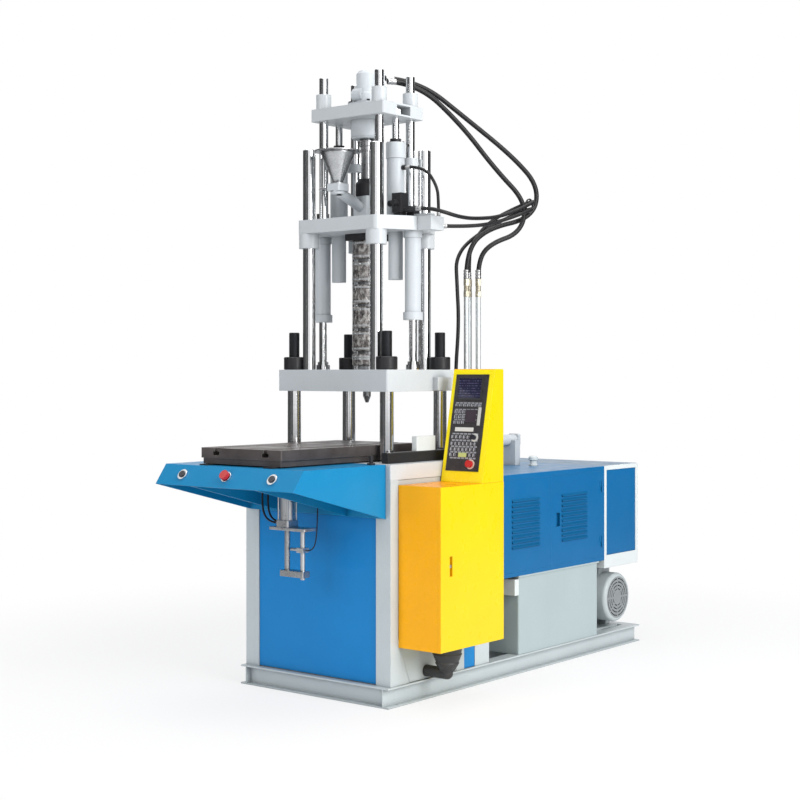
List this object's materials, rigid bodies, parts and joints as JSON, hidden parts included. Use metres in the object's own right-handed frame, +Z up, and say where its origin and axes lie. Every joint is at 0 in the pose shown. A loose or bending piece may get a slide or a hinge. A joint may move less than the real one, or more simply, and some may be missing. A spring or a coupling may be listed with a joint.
{
  "type": "vertical injection moulding machine",
  "caption": "Vertical four tie bar injection moulding machine with slide table, hopper fed injection unit on columns, control cabinet, operator panel and rear hydraulic power unit",
  "frame": {"origin": "On the floor, at the centre of the four anchor holes of the base frame", "axes": "+X towards the control cabinet, -Y towards the operator and the table's loading side, +Z up"},
  "size_m": [1.25, 3.0684, 3.228],
  "materials": {
    "grey_paint": "semi gloss pale grey paint",
    "bed_grey": "semi gloss pale grey paint on thick plate",
    "blue_panel": "semi gloss blue paint",
    "tray_blue": "semi gloss light blue paint",
    "cover_blue": "semi gloss deep blue paint",
    "yellow_paint": "gloss yellow paint",
    "chrome": "ground and hard chromed",
    "steel": "machined steel",
    "black_steel": "blackened steel",
    "table_dark": "oiled dark steel",
    "heater_steel": "rolled stainless cover",
    "hopper_steel": "spun stainless",
    "motor_blue": "blue grey paint",
    "tank_grey": "semi gloss light grey paint",
    "white_paint": "semi gloss white paint",
    "dark_plastic": "fine textured dark plastic",
    "panel_black": "membrane keyboard",
    "red_plastic": "gloss red plastic",
    "button_black": "gloss black plastic",
    "hose_rubber": "ribbed black hose cover",
    "cast_grey": "painted casting"
  },
  "bodies": {
    "frame": {"base_frame": "grey_paint", "body_frame": "grey_paint", "body_panels": "blue_panel", "bed_plate": "bed_grey", "table_tray": "tray_blue", "bed_rails": "black_steel", "table_cylinder": "steel", "ejector_cylinder": "steel", "clamp_cylinder": "grey_paint", "cabinet": "yellow_paint", "electrical_plate": "steel", "cable_boot": "dark_plastic", "hmi_pod": "yellow_paint", "hmi_panel": "panel_black", "oil_tank": "tank_grey", "rear_cover": "cover_blue", "rear_bay": "white_paint", "rear_panels": "cover_blue", "pump_motor": "motor_blue", "service_boxes": "white_paint", "steel_pipes": "chrome", "motor_hose_outer": "hose_rubber", "motor_hose_inner": "hose_rubber", "valve_hose": "hose_rubber", "drop_hose": "hose_rubber", "ejector_hose_front": "hose_rubber", "ejector_hose_back": "hose_rubber", "sensor_cable": "hose_rubber"},
    "clamp": {"clamp_crosshead": "steel", "tie_bars": "chrome", "tie_bar_nuts": "black_steel", "upper_platen": "bed_grey", "guide_columns": "chrome"},
    "carriage": {"carriage_plate": "bed_grey", "guide_bars": "chrome", "carriage_cylinders": "cast_grey", "carriage_fittings": "black_steel", "barrel": "steel", "heater_covers": "heater_steel", "feed_throat": "grey_paint", "hopper": "hopper_steel", "loop_hose": "hose_rubber"},
    "gate": {"feed_gate": "steel"},
    "drive": {"drive_plate": "bed_grey", "injection_rods": "chrome", "screw_drive": "cast_grey"},
    "feed_screw": {"screw": "steel"},
    "table": {"slide_table": "table_dark", "table_rod": "chrome"},
    "ejector": {"ejector_rod": "steel"},
    "start_left": {"start_button_left": "button_black"},
    "start_right": {"start_button_right": "button_black"},
    "stop_head": {"stop_button": "red_plastic"},
    "door": {"cabinet_door": "yellow_paint"},
    "latch": {"door_latch": "steel"},
    "dial": {"hmi_dial": "button_black"},
    "panel_stop": {"hmi_stop": "red_plastic"},
    "side_door": {"louvre_door": "cover_blue"},
    "fan": {"motor_fan": "dark_plastic"}
  },
  "joints": [
    {"name": "clamp_slide", "type": "slide", "parent": "frame", "child": "clamp", "axis": [0, 0, 1], "range_m": [-0.15, 0]},
    {"name": "carriage_slide", "type": "slide", "parent": "clamp", "child": "carriage", "axis": [0, 0, 1], "range_m": [-0.05, 0.06]},
    {"name": "injection_slide", "type": "slide", "parent": "carriage", "child": "drive", "axis": [0, 0, 1], "range_m": [-0.1, 0.06]},
    {"name": "screw_turn", "type": "hinge", "parent": "drive", "child": "feed_screw", "pos_m": [0, -0.779, 2.9], "axis": [0, 0, 1], "continuous": true},
    {"name": "gate_slide", "type": "slide", "parent": "carriage", "child": "gate", "axis": [1, 0, 0], "range_m": [0, 0.04]},
    {"name": "table_slide", "type": "slide", "parent": "frame", "child": "table", "axis": [0, 1, 0], "range_m": [0, 0.615]},
    {"name": "ejector_slide", "type": "slide", "parent": "frame", "child": "ejector", "axis": [0, 0, 1], "range_m": [0, 0.07]},
    {"name": "start_left_press", "type": "slide", "parent": "frame", "child": "start_left", "axis": [0, 0.808, -0.5892], "range_m": [0, 0.004], "stiffness_N_per_m": 900},
    {"name": "start_right_press", "type": "slide", "parent": "frame", "child": "start_right", "axis": [0, 0.808, -0.5892], "range_m": [0, 0.004], "stiffness_N_per_m": 900},
    {"name": "stop_press", "type": "slide", "parent": "frame", "child": "stop_head", "axis": [0, 0.808, -0.5892], "range_m": [0, 0.004], "stiffness_N_per_m": 900},
    {"name": "door_hinge", "type": "hinge", "parent": "frame", "child": "door", "pos_m": [0.738, -0.5897, 0.686], "axis": [0, 0, 1], "range_deg": [0, 110]},
    {"name": "latch_turn", "type": "hinge", "parent": "door", "child": "latch", "pos_m": [0.745, -1.04, 0.698], "axis": [1, 0, 0], "range_deg": [0, 90]},
    {"name": "dial_turn", "type": "hinge", "parent": "frame", "child": "dial", "pos_m": [0.676, -0.73969, 1.3096], "axis": [0, -0.9802, 0.1978], "range_deg": [0, 90]},
    {"name": "panel_stop_press", "type": "slide", "parent": "frame", "child": "panel_stop", "axis": [0, 0.9802, -0.1978], "range_m": [0, 0.004], "stiffness_N_per_m": 900},
    {"name": "side_door_hinge", "type": "hinge", "parent": "frame", "child": "side_door", "pos_m": [0.504, 0.77, 0.806], "axis": [0, 0, 1], "range_deg": [0, 100]},
    {"name": "fan_turn", "type": "hinge", "parent": "frame", "child": "fan", "pos_m": [0.45, 0.955, 0.296], "axis": [1, 0, 0], "continuous": true}
  ]
}
